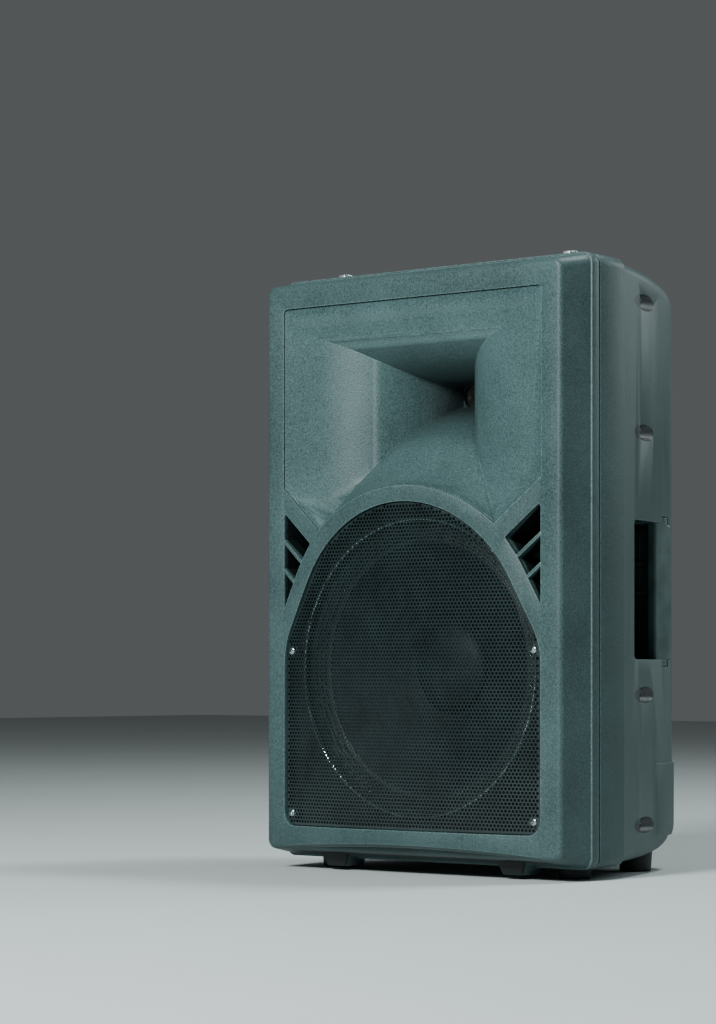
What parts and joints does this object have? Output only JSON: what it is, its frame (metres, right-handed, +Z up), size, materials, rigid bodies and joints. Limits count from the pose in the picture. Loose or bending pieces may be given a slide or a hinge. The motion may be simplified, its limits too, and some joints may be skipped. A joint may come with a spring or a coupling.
{
  "type": "pa speaker cabinet",
  "caption": "Passive two-way moulded loudspeaker cabinet with an arched perforated grille over the woofer, a wide horn above, slatted corner ports, side hand pockets and a pole socket",
  "frame": {"origin": "on the floor under the middle of the cabinet's outline", "axes": "+X to the right of someone facing the grille, the grille faces -Y, +Z up"},
  "size_m": [0.455, 0.333, 0.7089],
  "materials": {
    "black_moulding": "fine grained black structural foam",
    "horn_moulding": "fine grained black plastic",
    "grille_steel": "black powder coat on perforated sheet",
    "grip_rubber": "matt black rubber",
    "foot_rubber": "matt black rubber",
    "zinc_screw": "bright zinc plate",
    "black_screw": "black zinc plate",
    "basket_paint": "black epoxy paint on pressed steel",
    "magnet_steel": "zinc plated steel",
    "ferrite": "dark sintered ferrite",
    "paper_cone": "coated paper pulp",
    "surround_cloth": "doped pleated cloth",
    "gasket_foam": "closed cell foam",
    "coil_wire": "lacquered copper wire",
    "dome_alloy": "plain aluminium",
    "driver_plastic": "natural nylon",
    "circuit_board": "green solder mask",
    "capacitor_film": "glossy film wrap",
    "resistor_ceramic": "white ceramic",
    "plate_paint": "black powder coat",
    "socket_plastic": "black nylon",
    "rigging_steel": "bright zinc plate"
  },
  "bodies": {
    "cabinet": {"front_baffle": "black_moulding", "rear_shell": "black_moulding", "horn_flare": "horn_moulding", "port_duct_left": "black_moulding", "port_duct_right": "black_moulding", "case_seal": "foot_rubber", "case_screws": "zinc_screw", "handle_cup_left": "black_moulding", "handle_cup_right": "black_moulding", "handle_grip_left": "grip_rubber", "handle_grip_right": "grip_rubber", "grille": "grille_steel", "grille_screws": "black_screw", "woofer_gasket": "gasket_foam", "woofer_basket": "basket_paint", "woofer_screws": "zinc_screw", "woofer_top_plate": "magnet_steel", "woofer_magnet": "ferrite", "woofer_back_plate": "magnet_steel", "woofer_surround": "surround_cloth", "woofer_spider": "surround_cloth", "driver_front_plate": "magnet_steel", "driver_magnet": "ferrite", "driver_top_plate": "magnet_steel", "driver_pole_piece": "magnet_steel", "driver_suspension": "driver_plastic", "driver_cover": "dome_alloy", "driver_screws": "zinc_screw", "crossover_board": "circuit_board", "crossover_standoffs": "driver_plastic", "crossover_screws": "zinc_screw", "crossover_coils": "coil_wire", "crossover_capacitors": "capacitor_film", "crossover_resistors": "resistor_ceramic", "connector_plate": "plate_paint", "speaker_socket_left": "socket_plastic", "speaker_socket_right": "socket_plastic", "plate_screws": "zinc_screw", "rigging_washers": "rigging_steel", "rigging_bolts": "rigging_steel", "rigging_inserts": "rigging_steel", "pole_socket": "black_moulding", "pole_screws": "zinc_screw", "rubber_feet": "foot_rubber", "foot_screws": "zinc_screw", "damping_pad": "gasket_foam"},
    "woofer_moving": {"woofer_cone": "paper_cone", "woofer_dust_cap": "paper_cone", "woofer_voice_coil": "coil_wire"},
    "driver_moving": {"driver_diaphragm": "dome_alloy"}
  },
  "joints": [
    {"name": "cone_slide", "type": "slide", "parent": "cabinet", "child": "woofer_moving", "axis": [0, 1, 0], "range_m": [-0.006, 0.006], "stiffness_N_per_m": 4000, "deforming": ["woofer_surround", "woofer_spider"]},
    {"name": "diaphragm_slide", "type": "slide", "parent": "cabinet", "child": "driver_moving", "axis": [0, 1, 0], "range_m": [-0.0003, 0.0003], "stiffness_N_per_m": 8000}
  ]
}
